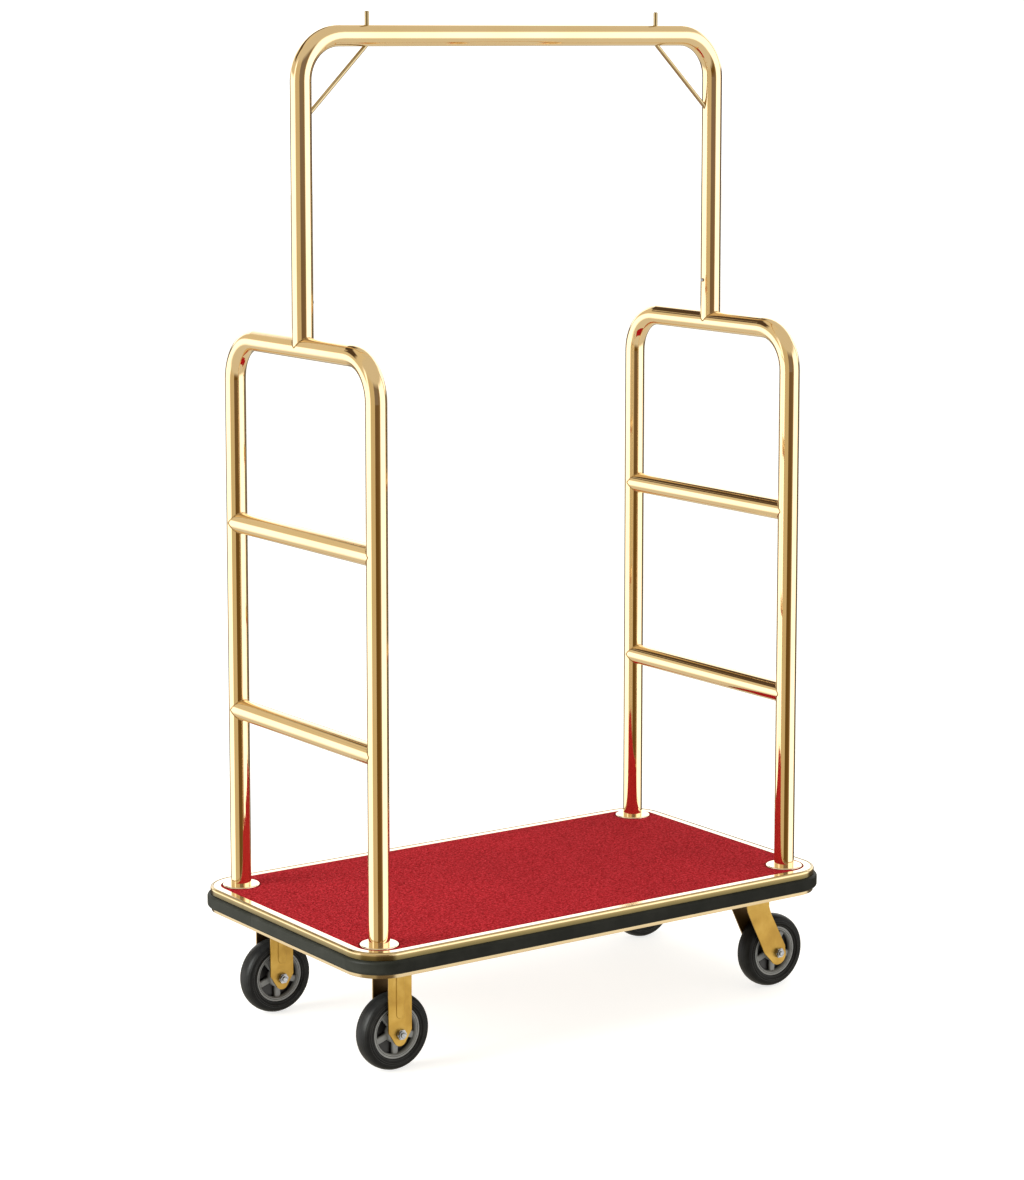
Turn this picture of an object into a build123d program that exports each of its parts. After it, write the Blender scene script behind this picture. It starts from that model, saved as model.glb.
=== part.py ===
from build123d import *
import math
import os

# Hotel luggage cart, millimetres, +Z up, floor at z = 0.
# X runs along the deck, -Y is the front, the origin is under the deck's centre.

os.makedirs("parts", exist_ok=True)

# overall size, over the bumper and to the tops of the stop pins
length = 1047.75
depth = 609.6
height = 1854.2
corner_radius = 75.0

# clearances
slip_fit = 0.05
bolt_fit = 0.15
weld_gap = 0.02
seam_gap = 0.5

# tubes of the hoops and the hanging arch
tube_radius = 19.05
tube_wall = 1.5
bore_radius = tube_radius - tube_wall
hoop_bend = 76.0
arch_bend = 78.0
hoop_top_z = 1266.0
upper_rung_z = 926.0
lower_rung_z = 577.0
stub_rise = 69.0
seam_z = hoop_top_z + stub_rise
spigot_half = 34.0
spigot_wall = 4.0

# stop rods, bent below the rail into a brace
rod_radius = 4.0
rod_run = 137.0
rod_bend = 14.0
pin_rise = 24.2
arch_z = height - pin_rise - tube_radius

# lock screws of the arch
screw_rise = 11.0
screw_radius = 2.0
screw_head_radius = 3.5
screw_head_thick = 2.6
screw_bite = 8.0

# deck stack, from the carpet down
carpet_top_z = 243.0
carpet_thick = 4.0
board_thick = 12.0
board_top_z = carpet_top_z - carpet_thick
board_under_z = board_top_z - board_thick

# edge of the deck, measured inward from the metal's outer face
bumper_out = 6.0
groove_deep = 5.0
channel_wall = 8.0
lower_lip_in = 1.5
strip_width = 14.0
strip_in = groove_deep + seam_gap
carpet_in = strip_in + strip_width
channel_top_z = carpet_top_z + 0.5
strip_top_z = carpet_top_z - 0.2
channel_under_z = 198.0
groove_low_z = 204.6
groove_top_z = 230.0
bumper_play = 0.3
channel_rounding = 4.5
bumper_rounding = 5.5
channel_seam_y = 128.0
strip_seam_y = 168.0
bumper_seam_y = 92.0

# post feet
flange_radius = 34.5
flange_thick = 6.0
carpet_gap = 1.0
post_margin = 6.4
foot_z = board_top_z + flange_thick
plug_length = 40.0
post_bolt_radius = 5.0
post_washer_radius = 9.0
post_x = length / 2 - bumper_out - carpet_in - post_margin - flange_radius
post_y = depth / 2 - bumper_out - carpet_in - post_margin - flange_radius

# underframe
rail_high = 26.0
rail_wall = 2.5
rail_under_z = board_under_z - rail_high
cross_rail_width = 124.0
rail_past_post = 25.0
rail_end_gap = 12.8
long_rail_width = 60.0
cross_rail_x = post_x + rail_past_post - cross_rail_width / 2
cross_rail_half = depth / 2 - bumper_out - channel_wall - rail_end_gap - 2.0

# wheels
wheel_radius = 70.0
tyre_width = 38.0
tread_deep = 22.4
rim_radius = wheel_radius - tread_deep
rim_half = 15.0
rim_thick = 5.6
spokes = 5
spoke_wide = 13.0
spoke_half = 10.0
boss_radius = 20.0
web_half = 2.5
bearing_radius = 14.0
bearing_width = 9.0
sleeve_radius = 7.0
axle_radius = 5.0

# casters
plate_thick = 4.0
plate_corner = 10.0
plate_border = 8.0
plate_bolt_radius = 3.0
plate_bolt_flats = 10.0
plate_bolt_head = 5.0
plate_bolt_gap = 1.0
plate_nut_thick = 6.5
plate_under_z = rail_under_z - plate_thick
side_play = 5.0
hub_play = 3.0
leg_inside = tyre_width / 2 + side_play
leg_thick = 3.0
leg_outside = leg_inside + leg_thick
hub_half = leg_inside - hub_play
leg_half = 24.0
rib_wide = 17.0
rib_rise = 1.3
rib_rounding = 1.1
toe_drop = 22.0
plate_pitch_x = 2 * (leg_half + plate_bolt_gap + plate_bolt_flats / 2)
plate_pitch_y = 2 * (leg_outside + plate_bolt_gap + 2.0)
rigid_inset_x = 49.0
swivel_inset_x = 55.7
caster_inset_y = 36.3
rigid_x = -(post_x - rigid_inset_x)
pivot_x = post_x - swivel_inset_x
caster_y = post_y - caster_inset_y
trail = 52.0
axle_flats = 17.0
axle_head = 6.4
axle_nut_thick = 6.5
axle_collar = 2.5
axle_collar_radius = 7.2
axle_end = 2.5
race_thick = 5.0
race_gap = 0.2
cup_thick = 7.8
crown_thick = 4.0
head_radius = 28.0
kingpin_radius = 6.0
kingpin_head_radius = 11.0
kingpin_head = 5.0
race_top_z = plate_under_z - cup_thick - race_gap
crown_top_z = race_top_z - race_thick


def save(name, *shapes):
    solids = []
    for shape in shapes:
        solids.extend(shape.solids())
    whole = solids[0] if len(solids) == 1 else Compound(children=solids)
    whole.label = name
    export_step(whole, "parts/" + name + ".step")


def rod(radius, z0, z1, x=0.0, y=0.0):
    return Pos(x, y, (z0 + z1) / 2) * Cylinder(radius, z1 - z0)


def rod_y(radius, y0, y1, x=0.0, z=0.0):
    return Pos(x, (y0 + y1) / 2, z) * Rot(90, 0, 0) * Cylinder(radius, abs(y1 - y0))


def rod_x(radius, x0, x1, y=0.0, z=0.0):
    return Pos((x0 + x1) / 2, y, z) * Rot(0, 90, 0) * Cylinder(radius, abs(x1 - x0))


def block(x0, x1, y0, y1, z0, z1):
    return Pos((x0 + x1) / 2, (y0 + y1) / 2, (z0 + z1) / 2) * Box(x1 - x0, y1 - y0, z1 - z0)


def hexagon(flats, z0, z1, x=0.0, y=0.0):
    return Pos(x, y, z0) * extrude(RegularPolygon(flats / math.sqrt(3), 6), z1 - z0)


def hexagon_y(flats, y0, thick):
    # starts at y0 and grows towards -Y
    return Pos(0, y0, 0) * extrude(Plane.XZ * RegularPolygon(flats / math.sqrt(3), 6), thick)


def rounded_at(shape, axis, value, radius):
    # fillets the edges that lie wholly at one height along an axis
    picked = [e for e in shape.edges() if level(e, axis, value)]
    return fillet(picked, radius)


def level(edge, axis, value):
    box = edge.bounding_box()
    low = getattr(box.min, axis)
    high = getattr(box.max, axis)
    return abs(low - value) < 0.01 and abs(high - value) < 0.01


def slab(inset, z0, z1):
    # deck outline, moved in from the metal's outer face
    step = bumper_out + inset
    radius = max(corner_radius - step, 5.0)
    outline = RectangleRounded(length - 2 * step, depth - 2 * step, radius)
    return Pos(0, 0, z0) * extrude(outline, z1 - z0)


def ring(outer, inner, z0, z1):
    return slab(outer, z0, z1) - slab(inner, z0 - 1, z1 + 1)


def posts():
    return [(sx * post_x, sy * post_y) for sx in (-1, 1) for sy in (-1, 1)]


def on_outline(edge, inset):
    half_x = length / 2 - bumper_out - inset
    half_y = depth / 2 - bumper_out - inset
    radius = corner_radius - bumper_out - inset
    middle = edge @ 0.5
    dx = abs(middle.X) - (half_x - radius)
    dy = abs(middle.Y) - (half_y - radius)
    if dx > 0 and dy > 0:
        return abs(math.hypot(dx, dy) - radius) < 0.05
    return abs(abs(middle.X) - half_x) < 0.05 or abs(abs(middle.Y) - half_y) < 0.05


def outline_edges(shape, inset, z):
    return [e for e in shape.edges() if level(e, "Z", z) and on_outline(e, inset)]


def left_seam(y, reach, z0, z1):
    # thin saw cut across the left end
    return block(-length, reach - length / 2, y, y + seam_gap, z0, z1)


# deck

def edge_channel():
    top = ring(0, groove_deep, groove_top_z, channel_top_z)
    top = fillet(outline_edges(top, 0, channel_top_z), channel_rounding)
    back = ring(groove_deep, channel_wall, groove_low_z, board_top_z)
    low = ring(lower_lip_in, channel_wall, channel_under_z, groove_low_z)
    return top + back + low - left_seam(channel_seam_y, corner_radius, groove_top_z, height)


def binding_strip():
    strip = ring(strip_in, carpet_in, board_top_z, strip_top_z)
    strip = rounded_at(strip, "Z", strip_top_z, 0.8)
    cuts = [left_seam(strip_seam_y, corner_radius, board_top_z - 1, height)]
    for sx, sy in ((-1, -1), (1, -1), (1, 1)):
        place = Pos(sx * (length / 2 - corner_radius), sy * (depth / 2 - corner_radius), board_top_z)
        saw = block(0, 2 * corner_radius, -seam_gap / 2, seam_gap / 2, -10, 10)
        cuts.append(place * Rot(0, 0, math.degrees(math.atan2(sy, sx))) * saw)
    for cut in cuts:
        strip -= cut
    return strip


def bumper_strip():
    low = groove_low_z + bumper_play
    top = groove_top_z - bumper_play
    body = ring(-bumper_out, groove_deep, low, top)
    edges = outline_edges(body, -bumper_out, low) + outline_edges(body, -bumper_out, top)
    body = fillet(edges, bumper_rounding)
    return body - left_seam(bumper_seam_y, corner_radius, 0, height)


def deck_board():
    board = slab(channel_wall, board_under_z, board_top_z)
    for x, y in posts():
        board -= rod(post_bolt_radius + bolt_fit, 0, height, x, y)
    return board


def carpet():
    mat = slab(carpet_in, board_top_z, carpet_top_z)
    for x, y in posts():
        mat -= rod(flange_radius + carpet_gap, 0, height, x, y)
    return mat


# underframe

def box_rail(x0, x1, y0, y1, open_x, open_y):
    # box section, open at the ends that the flags name
    outer = block(x0, x1, y0, y1, rail_under_z, board_under_z)
    wx = -1 if open_x else rail_wall
    wy = -1 if open_y else rail_wall
    low = rail_under_z + rail_wall
    top = board_under_z - rail_wall
    return outer - block(x0 + wx, x1 - wx, y0 + wy, y1 - wy, low, top)


def plate_holes(x, y):
    across = plate_pitch_x / 2
    along = plate_pitch_y / 2
    return [(x + i * across, y + j * along) for i in (-1, 1) for j in (-1, 1)]


def caster_places():
    return [(x, sy * caster_y) for x in (rigid_x, pivot_x) for sy in (-1, 1)]


def cross_rail(side):
    middle = side * cross_rail_x
    half = cross_rail_width / 2
    rail = box_rail(middle - half, middle + half, -cross_rail_half, cross_rail_half, False, True)
    for sy in (-1, 1):
        rail -= rod(post_bolt_radius + bolt_fit, 0, board_top_z, side * post_x, sy * post_y)
    floor_z = rail_under_z + rail_wall + 1
    for cx, cy in caster_places():
        for x, y in plate_holes(cx, cy):
            rail -= rod(plate_bolt_radius + bolt_fit, rail_under_z - 1, floor_z, x, y)
    return rail


def long_rail(side):
    end = cross_rail_x - cross_rail_width / 2
    middle = side * caster_y
    half = long_rail_width / 2
    return box_rail(-end, end, middle - half, middle + half, True, False)


def centre_rail():
    half = long_rail_width / 2
    end = caster_y - half
    return box_rail(-half, half, -end, end, False, True)


# hoops and arch

def bent_tube(points, bend):
    path = FilletPolyline(*points, radius=bend)
    start = Plane(origin=path @ 0, z_dir=path % 0)
    return sweep(start * (Circle(tube_radius) - Circle(bore_radius)), path=path)


def hoop_tube(side):
    x = side * post_x
    corners = [(-post_y, foot_z), (-post_y, hoop_top_z), (post_y, hoop_top_z), (post_y, foot_z)]
    return bent_tube([(x, y, z) for y, z in corners], hoop_bend)


def rung(side, z):
    x = side * post_x
    bar = rod_y(tube_radius, -post_y, post_y, x, z) - rod_y(bore_radius, -post_y, post_y, x, z)
    reach = 3 * tube_radius
    for sy in (-1, 1):
        bar -= rod(tube_radius + weld_gap, z - reach, z + reach, x, sy * post_y)
    return bar


def arch_stub(side):
    x = side * post_x
    body = rod(tube_radius, hoop_top_z, seam_z, x) - rod(bore_radius, 0, height, x)
    return body - rod_y(tube_radius + weld_gap, -post_y, post_y, x, hoop_top_z)


def lock_screw(side):
    z = seam_z + screw_rise
    wall = post_x - tube_radius
    seat = side * (wall + weld_gap)
    face = side * (wall - screw_head_thick)
    shank = rod_x(screw_radius, side * (wall + screw_bite), seat, 0, z)
    head = rod_x(screw_head_radius, seat, face, 0, z)
    head = rounded_at(head, "X", face, 1.2)
    socket = rod_x(1.3, face, face + side * 1.4, 0, z)
    return shank + head - socket


def screw_hole(side):
    z = seam_z + screw_rise
    return rod_x(screw_radius + slip_fit, side * (post_x - 2 * tube_radius), side * post_x, 0, z)


def arch_spigot(side):
    x = side * post_x
    plug = rod(bore_radius - slip_fit, seam_z - spigot_half, seam_z + spigot_half, x)
    plug -= rod(bore_radius - spigot_wall, 0, height, x)
    return plug - screw_hole(side)


def stop_rod(side):
    pin_x = side * (post_x - rod_run)
    knee_z = arch_z - tube_radius + rod_radius
    foot = (side * post_x, 0, knee_z - rod_run)
    path = FilletPolyline((pin_x, 0, height), (pin_x, 0, knee_z), foot, radius=rod_bend)
    start = Plane(origin=path @ 0, z_dir=path % 0)
    body = sweep(start * Circle(rod_radius), path=path)
    body = rounded_at(body, "Z", height, 1.5)
    return body - rod(tube_radius + weld_gap, seam_z, arch_z, side * post_x)


def hanger_arch():
    corners = [(-post_x, seam_z), (-post_x, arch_z), (post_x, arch_z), (post_x, seam_z)]
    body = bent_tube([(x, 0, z) for x, z in corners], arch_bend)
    for side in (-1, 1):
        body -= stop_rod(side)
        body -= screw_hole(side)
    return body


# post feet

def post_flange(x, y):
    disc = rounded_at(rod(flange_radius, board_top_z, foot_z, x, y), "Z", foot_z, 2.0)
    return disc - rod(post_bolt_radius + bolt_fit, 0, height, x, y)


def post_plug(x, y):
    top = foot_z + plug_length
    plug = rod(bore_radius - slip_fit, foot_z, top, x, y)
    return plug - rod(post_bolt_radius, 0, top - 6, x, y)


def post_bolt(x, y):
    washer_z = rail_under_z - 2
    shank = rod(post_bolt_radius, rail_under_z, foot_z + plug_length - 8, x, y)
    washer = rod(post_washer_radius, washer_z, rail_under_z, x, y)
    return shank + washer + hexagon(16.0, washer_z - 6, washer_z, x, y)


# caster plates and fixings

def top_plate(x, y):
    wide = plate_pitch_x + 2 * plate_border
    long = plate_pitch_y + 2 * plate_border
    outline = RectangleRounded(wide, long, plate_corner)
    plate = Pos(x, y, plate_under_z) * extrude(outline, plate_thick)
    for hx, hy in plate_holes(x, y):
        plate -= rod(plate_bolt_radius + bolt_fit, 0, height, hx, hy)
    return plate


def plate_bolt(x, y):
    inner_z = rail_under_z + rail_wall + plate_nut_thick + 1.5
    shank = rod(plate_bolt_radius, plate_under_z, inner_z, x, y)
    return shank + hexagon(plate_bolt_flats, plate_under_z - plate_bolt_head, plate_under_z, x, y)


def plate_nut(x, y):
    z0 = rail_under_z + rail_wall
    nut = hexagon(plate_bolt_flats, z0, z0 + plate_nut_thick, x, y)
    return nut - rod(plate_bolt_radius, 0, height, x, y)


def at_plates(make):
    return [make(x, y) for cx, cy in caster_places() for x, y in plate_holes(cx, cy)]


# fork legs: plates in the XZ plane, drawn about the plate's centre line

def side_plates(outline, toe_x, toe_z, toe_radius):
    face = make_face(Polyline(*outline, close=True)) + Pos(toe_x, toe_z) * Circle(toe_radius)
    plate = extrude(Plane.XZ * face, leg_thick)
    return Pos(0, -leg_inside, 0) * plate + Pos(0, leg_outside, 0) * plate


def side_ribs(z0, z1):
    # soft upright swage in the middle of each leg
    long = z1 - z0
    rib = extrude(Plane.XZ * (Pos(0, (z0 + z1) / 2) * Rot(0, 0, 90) * SlotOverall(long, rib_wide)), rib_rise)
    front = Pos(0, -leg_outside, 0) * rounded_at(rib, "Y", -rib_rise, rib_rounding)
    return front + mirror(front, Plane.XZ)


def axle_hole(x, y):
    reach = 2 * leg_outside
    return rod_y(axle_radius + bolt_fit, y - reach, y + reach, x, wheel_radius)


def rigid_bracket(y):
    top = plate_under_z
    shoulder = wheel_radius + 5
    toe_radius = 13.0
    toe_z = wheel_radius - toe_drop + toe_radius
    side = 0.93 * toe_radius
    foot = toe_z - 0.37 * toe_radius
    outline = [(-leg_half, top), (leg_half, top), (leg_half, shoulder), (side, foot)]
    outline += [(-side, foot), (-leg_half, shoulder)]
    body = side_plates(outline, 0, toe_z, toe_radius)
    body += block(-leg_half, leg_half, -leg_outside, leg_outside, top - crown_thick, top)
    body += side_ribs(wheel_radius + 28, top - 1)
    body = Pos(rigid_x, y, 0) * body + top_plate(rigid_x, y)
    return body - axle_hole(rigid_x, y)


def swivel_fork(y):
    # heel and neck are set from the axle, the crown from the pivot
    top = crown_top_z
    half = head_radius + 0.5
    heel = wheel_radius + 78
    toe_radius = 19.0
    toe_z = wheel_radius - toe_drop - 2 + toe_radius
    outline = [(-half, top), (half, top), (half, heel + 16), (trail - 18, heel)]
    outline += [(trail + 17, wheel_radius + 11), (trail + 18, toe_z), (trail - 11, toe_z - 15)]
    outline += [(trail - 33, wheel_radius + 3), (trail - 75, wheel_radius + 90)]
    body = side_plates(outline, trail, toe_z, toe_radius)
    body += block(-half, half, -leg_outside, leg_outside, top - crown_thick, top)
    body += rod(head_radius, top, race_top_z)
    body -= rod(kingpin_radius + slip_fit, 0, height)
    return Pos(pivot_x, y, 0) * body - axle_hole(pivot_x + trail, y)


def swivel_plate(y):
    cup = rod(head_radius, plate_under_z - cup_thick, plate_under_z, pivot_x, y)
    return top_plate(pivot_x, y) + cup - rod(kingpin_radius, 0, height, pivot_x, y)


def kingpin(y):
    head_top = crown_top_z - crown_thick - race_gap
    pin = rod(kingpin_radius, head_top, rail_under_z, pivot_x, y)
    head = rod(kingpin_head_radius, head_top - kingpin_head, head_top, pivot_x, y)
    return pin + rounded_at(head, "Z", head_top - kingpin_head, 2.0)


# axles and wheels

def axle_bolt(x, y):
    end = -leg_outside - axle_nut_thick - axle_collar - axle_end
    shank = rod_y(axle_radius, end, leg_outside)
    shank = chamfer([e for e in shank.edges() if level(e, "Y", end)], 1.0)
    body = shank + hexagon_y(axle_flats, leg_outside + axle_head, axle_head)
    return Pos(x, y, wheel_radius) * body


def axle_nut(x, y):
    body = hexagon_y(axle_flats, -leg_outside, axle_nut_thick)
    face = -leg_outside - axle_nut_thick
    body += rod_y(axle_collar_radius, face - axle_collar, face)
    body -= rod_y(axle_radius, -3 * leg_outside, 0)
    return Pos(x, y, wheel_radius) * body


def axle_sleeve(x, y):
    tube = rod_y(sleeve_radius, -leg_inside, leg_inside)
    tube -= rod_y(axle_radius + slip_fit, -leg_outside, leg_outside)
    return Pos(x, y, wheel_radius) * tube


def bearings(x, y):
    pair = []
    for side in (-1, 1):
        outer = rod_y(bearing_radius, side * (hub_half - bearing_width), side * hub_half)
        outer -= rod_y(sleeve_radius + slip_fit, -leg_outside, leg_outside)
        pair.append(Pos(x, y, wheel_radius) * outer)
    return pair


def turned(points):
    # points are radius and place along the axle
    outline = make_face(Plane.YZ * Polyline(*[(w, r) for r, w in points], close=True))
    return revolve(outline, Axis.Y)


def tyre(x, y):
    half = tyre_width / 2
    shoulder = wheel_radius - 10
    bead = [(rim_radius, half - 3), (rim_radius + 5.4, half - 1), (rim_radius + 6.4, half)]
    bead += [(rim_radius + 8.4, half), (rim_radius + 9.4, half - 1), (shoulder, half - 1)]
    crown = []
    steps = 10
    for i in range(1, steps):
        angle = math.pi * i / steps
        bulge = 10 * math.sin(angle) ** 0.8
        crown.append((shoulder + bulge, (1 - half) * math.cos(angle)))
    outline = [(r, -w) for r, w in bead] + crown + bead[::-1]
    return Pos(x, y, wheel_radius) * turned(outline)


def wheel_hub(x, y):
    inner = rim_radius - rim_thick
    flat = rim_half - 3
    rim = [(rim_radius, -rim_half), (rim_radius, rim_half), (inner, rim_half)]
    rim += [(inner - 2, flat), (inner - 2, -flat), (inner, -rim_half)]
    pocket = hub_half - bearing_width
    seat_radius = bearing_radius - 3
    boss = [(boss_radius, -hub_half + 3), (boss_radius - 2, -hub_half), (bearing_radius, -hub_half)]
    boss += [(bearing_radius, -pocket), (seat_radius, -pocket)]
    boss += [(r, -w) for r, w in boss[::-1]]
    web = rod_y(inner, -web_half, web_half) - rod_y(boss_radius - 2, -web_half - 1, web_half + 1)
    body = turned(rim) + turned(boss) + web
    for i in range(spokes):
        arm = block(-spoke_wide / 2, spoke_wide / 2, -spoke_half, spoke_half, boss_radius - 3, inner)
        arm = fillet(arm.edges().filter_by(Axis.Z), 3)
        body += Rot(0, 180 / spokes + 360 / spokes * i, 0) * arm
    return Pos(x, y, wheel_radius) * body


def build_deck():
    save("deck_board", deck_board())
    save("carpet", carpet())
    save("edge_channel", edge_channel())
    save("binding_strip", binding_strip())
    save("bumper_strip", bumper_strip())
    save("left_cross_rail", cross_rail(-1))
    save("right_cross_rail", cross_rail(1))
    save("front_long_rail", long_rail(-1))
    save("rear_long_rail", long_rail(1))
    save("centre_cross_rail", centre_rail())


def build_frame():
    for name, side in (("left", -1), ("right", 1)):
        save(name + "_hoop_tube", hoop_tube(side))
        save(name + "_upper_rung", rung(side, upper_rung_z))
        save(name + "_lower_rung", rung(side, lower_rung_z))
        save(name + "_arch_stub", arch_stub(side))
        save(name + "_arch_spigot", arch_spigot(side))
        save(name + "_stop_rod", stop_rod(side))
    save("hanger_arch", hanger_arch())
    save("arch_lock_screws", lock_screw(-1), lock_screw(1))
    save("post_flanges", *[post_flange(x, y) for x, y in posts()])
    save("post_foot_plugs", *[post_plug(x, y) for x, y in posts()])
    save("post_bolts", *[post_bolt(x, y) for x, y in posts()])


def build_casters():
    save("caster_plate_bolts", *at_plates(plate_bolt))
    save("caster_plate_nuts", *at_plates(plate_nut))
    places = (-caster_y, caster_y)
    save("rigid_axle_bolts", *[axle_bolt(rigid_x, y) for y in places])
    save("rigid_axle_nuts", *[axle_nut(rigid_x, y) for y in places])
    save("rigid_axle_sleeves", *[axle_sleeve(rigid_x, y) for y in places])
    wheel_x = pivot_x + trail
    for end, y in zip(("front", "rear"), places):
        save(end + "_rigid_bracket", rigid_bracket(y))
        save(end + "_swivel_plate", swivel_plate(y))
        save(end + "_kingpin", kingpin(y))
        save(end + "_swivel_fork", swivel_fork(y))
        save(end + "_swivel_axle_bolt", axle_bolt(wheel_x, y))
        save(end + "_swivel_axle_nut", axle_nut(wheel_x, y))
        save(end + "_swivel_axle_sleeve", axle_sleeve(wheel_x, y))
        for kind, x in (("rigid", rigid_x), ("swivel", wheel_x)):
            save(end + "_" + kind + "_tyre", tyre(x, y))
            save(end + "_" + kind + "_hub", wheel_hub(x, y))
            save(end + "_" + kind + "_bearings", *bearings(x, y))


build_deck()
build_frame()
build_casters()
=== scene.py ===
import math

import bmesh
import bpy
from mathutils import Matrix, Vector, geometry, noise


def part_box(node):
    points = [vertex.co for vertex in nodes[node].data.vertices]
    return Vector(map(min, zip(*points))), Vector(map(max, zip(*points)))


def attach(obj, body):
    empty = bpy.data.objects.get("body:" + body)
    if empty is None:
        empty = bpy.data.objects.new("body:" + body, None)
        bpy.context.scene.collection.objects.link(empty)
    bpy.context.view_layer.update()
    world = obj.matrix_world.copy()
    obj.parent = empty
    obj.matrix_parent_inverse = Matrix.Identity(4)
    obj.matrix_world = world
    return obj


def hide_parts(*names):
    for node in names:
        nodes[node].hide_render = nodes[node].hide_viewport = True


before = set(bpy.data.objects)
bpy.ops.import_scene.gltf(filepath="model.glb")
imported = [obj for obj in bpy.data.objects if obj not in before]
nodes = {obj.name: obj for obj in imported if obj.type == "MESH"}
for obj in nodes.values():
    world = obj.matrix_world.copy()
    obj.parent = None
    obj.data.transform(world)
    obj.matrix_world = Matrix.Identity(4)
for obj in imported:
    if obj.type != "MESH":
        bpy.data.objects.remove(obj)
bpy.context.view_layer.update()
print("luggage cart: frame loaded,", len(nodes), "parts")


def nodeMid(name):
    low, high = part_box(name)
    return (low + high) / 2


wheelNames = [f"{side}_{kind}" for side in ("front", "rear") for kind in ("rigid", "swivel")]
wheelPlane = abs(nodeMid("front_rigid_tyre").y)  # from the cart's middle to the middle of a wheel
tubeRadius = 0.01905


def startFinish(name, colour, metal=0.0, rough=0.5, **sockets):
    finish = bpy.data.materials.new(name)
    finish.use_nodes = True
    finish.diffuse_color = (*colour, 1)
    shader = finish.node_tree.nodes["Principled BSDF"]
    shader.inputs["Base Color"].default_value = (*colour, 1)
    shader.inputs["Metallic"].default_value = metal
    shader.inputs["Roughness"].default_value = rough
    for socket, value in sockets.items():
        shader.inputs[socket.replace("_", " ")].default_value = value
    return finish, finish.node_tree, shader


def objectPlace(tree, stretch=(1, 1, 1)):
    # object coordinates: every part's origin is the cart's own origin, so grain runs through all parts
    place = tree.nodes.new("ShaderNodeTexCoord")
    scale = tree.nodes.new("ShaderNodeMapping")
    scale.inputs["Scale"].default_value = stretch
    tree.links.new(place.outputs["Object"], scale.inputs["Vector"])
    return scale.outputs["Vector"]


def splitPlace(tree, place):
    split = tree.nodes.new("ShaderNodeSeparateXYZ")
    tree.links.new(place, split.inputs["Vector"])
    return split.outputs


def bandOver(tree, value, low, high):
    # 0 at low and 1 at high, straight between
    band = tree.nodes.new("ShaderNodeMapRange")
    band.inputs["From Min"].default_value = low
    band.inputs["From Max"].default_value = high
    tree.links.new(value, band.inputs["Value"])
    return band.outputs["Result"]


def cloudNoise(tree, vector, scale, detail=3.0, rough=0.5, distortion=0.0):
    cloud = tree.nodes.new("ShaderNodeTexNoise")
    cloud.inputs["Scale"].default_value = scale
    cloud.inputs["Detail"].default_value = detail
    cloud.inputs["Roughness"].default_value = rough
    cloud.inputs["Distortion"].default_value = distortion
    tree.links.new(vector, cloud.inputs["Vector"])
    return cloud.outputs["Fac"]


def ramp(tree, factor, stops):
    # stops: (place 0-1, colour or grey)
    band = tree.nodes.new("ShaderNodeValToRGB")
    elements = band.color_ramp.elements
    while len(elements) < len(stops):
        elements.new(0.5)
    for element, (place, colour) in zip(elements, stops):
        element.position = place
        element.color = (*colour, 1) if hasattr(colour, "__len__") else (colour, colour, colour, 1)
    tree.links.new(factor, band.inputs["Fac"])
    return band.outputs["Color"]


def blendColours(tree, factor, first, second, how="MIX"):
    mix = tree.nodes.new("ShaderNodeMix")
    mix.data_type = "RGBA"
    mix.blend_type = how
    slots = [s for s in mix.inputs if s.type == "RGBA"]
    for slot, value in zip(slots, (first, second)):
        if hasattr(value, "is_linked"):
            tree.links.new(value, slot)
        else:
            slot.default_value = (*value, 1)
    if hasattr(factor, "is_linked"):
        tree.links.new(factor, mix.inputs[0])
    else:
        mix.inputs[0].default_value = factor
    return [s for s in mix.outputs if s.type == "RGBA"][0]


def sums(tree, how, first, second=None, third=None):
    maths = tree.nodes.new("ShaderNodeMath")
    maths.operation = how
    for slot, value in zip(maths.inputs, (first, second, third)):
        if value is None:
            continue
        if hasattr(value, "is_linked"):
            tree.links.new(value, slot)
        else:
            slot.default_value = value
    return maths.outputs[0]


def relief(tree, shader, height, strength, depth):
    # bump with its depth in metres
    bump = tree.nodes.new("ShaderNodeBump")
    bump.inputs["Strength"].default_value = strength
    bump.inputs["Distance"].default_value = depth
    tree.links.new(height, bump.inputs["Height"])
    tree.links.new(bump.outputs["Normal"], shader.inputs["Normal"])


def toneBy(tree, shader, cloud, stops, first, second):
    # the colour drifts from the first tone to the second between the cloud's two stops
    colour = blendColours(tree, ramp(tree, cloud, list(zip(stops, (0.0, 1.0)))), first, second)
    tree.links.new(colour, shader.inputs["Base Color"])


def roughBy(tree, shader, cloud, stops, rough):
    tree.links.new(ramp(tree, cloud, list(zip(stops, rough))), shader.inputs["Roughness"])


def fromWheelPlane(tree, place):
    # how far a point of a caster lies from the middle plane of its wheel
    offCentre = sums(tree, "ABSOLUTE", splitPlace(tree, place)["Y"])
    return sums(tree, "ABSOLUTE", sums(tree, "SUBTRACT", offCentre, wheelPlane))


# clouds are (scale, detail, roughness, distortion); reliefs are (strength, depth in metres)
polish = dict(drift=(5.5, 2.0), driftStops=(0.35, 0.68), haze=(26.0, 5.0, 0.62), hazeStops=(0.38, 0.74),
              ripple=(34.0, 2.0), relief=(0.10, 0.0006))
tubeLook = dict(polish, name="polishedGoldTube", gold=(0.93, 0.715, 0.42), pale=(0.95, 0.745, 0.47),
                rough=(0.045, 0.10))
rodLook = dict(polish, name="drawnGoldRod", gold=(0.47, 0.37, 0.20), pale=(0.56, 0.45, 0.27),
               rough=(0.09, 0.18))


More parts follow.
